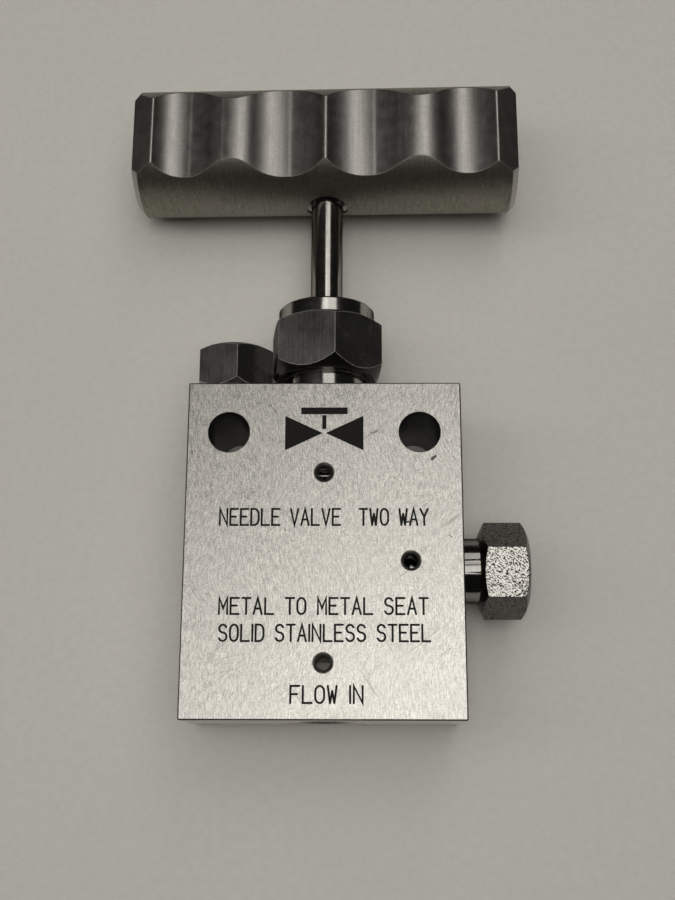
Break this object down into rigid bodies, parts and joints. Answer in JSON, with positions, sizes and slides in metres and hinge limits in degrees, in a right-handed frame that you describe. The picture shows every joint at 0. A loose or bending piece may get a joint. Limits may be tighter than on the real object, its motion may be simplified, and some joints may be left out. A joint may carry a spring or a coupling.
{
  "type": "needle valve",
  "caption": "High-pressure needle valve: rectangular steel block with a T-bar handle on a long stem, packing gland and a side outlet with a hexagon gland.",
  "frame": {"origin": "middle of the block's back face, the flat face that the two mounting holes bolt down; the valve lies on it", "axes": "+Z out of the front face, +Y along the stem towards the handle, +X towards the outlet"},
  "size_m": [0.1012, 0.167, 0.0318],
  "materials": {
    "block_steel": "brushed stainless steel with a fine mottled grain",
    "handle_steel": "satin machined stainless steel",
    "gland_steel": "smooth machined stainless steel",
    "polished_steel": "ground and polished stainless steel",
    "black_oxide_steel": "black oxide",
    "bronze": "turned bronze",
    "packing_plastic": "moulded white packing plastic"
  },
  "bodies": {
    "valve": {"valve_body": "block_steel", "valve_seat": "polished_steel", "seat_retainer": "gland_steel", "packing_bottom_washer": "bronze", "packing_ring_lower": "packing_plastic", "packing_ring_middle": "packing_plastic", "packing_ring_upper": "packing_plastic", "packing_top_washer": "bronze", "packing_gland": "gland_steel", "gland_lock_screw": "gland_steel", "gland_lock_washer": "gland_steel", "outlet_gland": "gland_steel", "outlet_collar": "polished_steel"},
    "needle_carriage": {"needle": "polished_steel", "thrust_washer_lower": "bronze", "thrust_washer_upper": "bronze"},
    "handle": {"t_handle": "handle_steel", "handle_set_screw": "black_oxide_steel", "drive_stem": "polished_steel", "needle_retainer": "gland_steel"}
  },
  "joints": [
    {"name": "needle_lift", "type": "slide", "parent": "valve", "child": "needle_carriage", "axis": [0, 1, 0], "range_m": [0, 0.00318]},
    {"name": "handle_turn", "type": "hinge", "parent": "needle_carriage", "child": "handle", "pos_m": [0, 0.11047, 0.01588], "axis": [0, 1, 0], "range_deg": [0, 900]}
  ],
  "couplings": [
    {"joint": "needle_lift", "follows": "handle_turn", "m_per_rad": 0.00020213}
  ]
}
